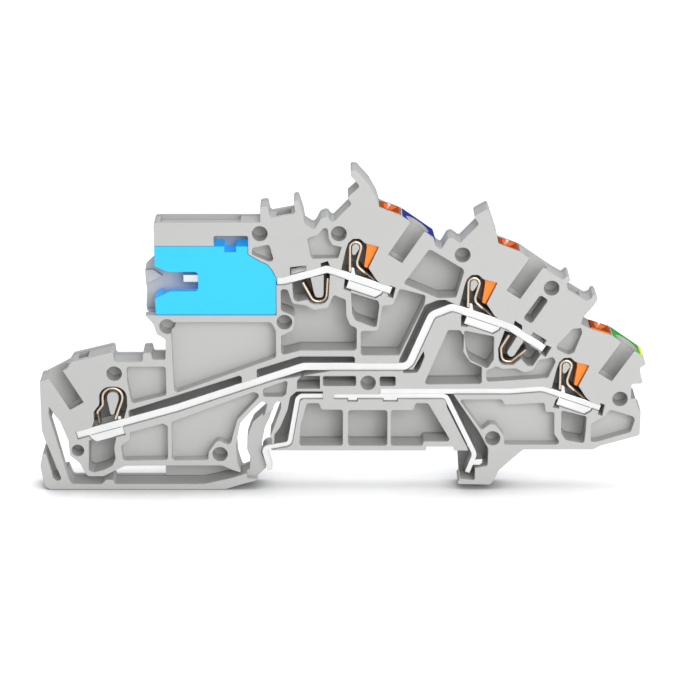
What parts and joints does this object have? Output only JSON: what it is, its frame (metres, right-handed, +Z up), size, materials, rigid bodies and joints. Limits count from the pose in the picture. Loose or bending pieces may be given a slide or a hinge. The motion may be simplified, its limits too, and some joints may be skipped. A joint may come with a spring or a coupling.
{
  "type": "terminal block",
  "caption": "Rail-mount terminal block with stepped spring clamps, push buttons, a blue disconnect slide and an open side.",
  "frame": {"origin": "centre of the seat on the rail's top face, in the middle of the block's width", "axes": "+X along the block towards the stepped clamps, +Y across the width from the open face to the closed back, +Z up from the rail"},
  "size_m": [0.1059, 0.0068, 0.0586],
  "materials": {
    "grey_plastic": "moulded, fine matt",
    "blue_plastic": "moulded, fine matt",
    "dark_blue_plastic": "moulded, fine matt",
    "green_plastic": "moulded, fine matt",
    "orange_plastic": "moulded, fine matt",
    "tinned_metal": "bright tin plating",
    "spring_steel": "smooth, slightly dark"
  },
  "bodies": {
    "housing": {"housing": "grey_plastic", "n_bar": "tinned_metal", "l_bar": "tinned_metal", "pe_bar": "tinned_metal", "pe_foot": "tinned_metal", "left_clamp_spring": "spring_steel", "n_clamp_spring": "spring_steel", "l_clamp_spring": "spring_steel", "pe_clamp_spring": "spring_steel", "n_jumper_spring": "spring_steel", "l_jumper_spring": "spring_steel", "n_entry_frame": "dark_blue_plastic", "pe_entry_frame": "green_plastic"},
    "n_slide": {"n_slide": "blue_plastic", "n_slide_contact": "tinned_metal"},
    "n_push_button": {"n_push_button": "orange_plastic"},
    "l_push_button": {"l_push_button": "orange_plastic"},
    "pe_push_button": {"pe_push_button": "orange_plastic"}
  },
  "joints": [
    {"name": "n_slide_travel", "type": "slide", "parent": "housing", "child": "n_slide", "axis": [-1, 0, 0], "range_m": [0, 0.0035]},
    {"name": "n_button_press", "type": "slide", "parent": "housing", "child": "n_push_button", "axis": [-0.4478, 0, -0.8942], "range_m": [0, 0.0016], "stiffness_N_per_m": 1500, "deforming": ["n_clamp_spring"]},
    {"name": "l_button_press", "type": "slide", "parent": "housing", "child": "l_push_button", "axis": [-0.4478, 0, -0.8942], "range_m": [0, 0.0016], "stiffness_N_per_m": 1500, "deforming": ["l_clamp_spring"]},
    {"name": "pe_button_press", "type": "slide", "parent": "housing", "child": "pe_push_button", "axis": [-0.4478, 0, -0.8942], "range_m": [0, 0.0016], "stiffness_N_per_m": 1500, "deforming": ["pe_clamp_spring"]}
  ]
}
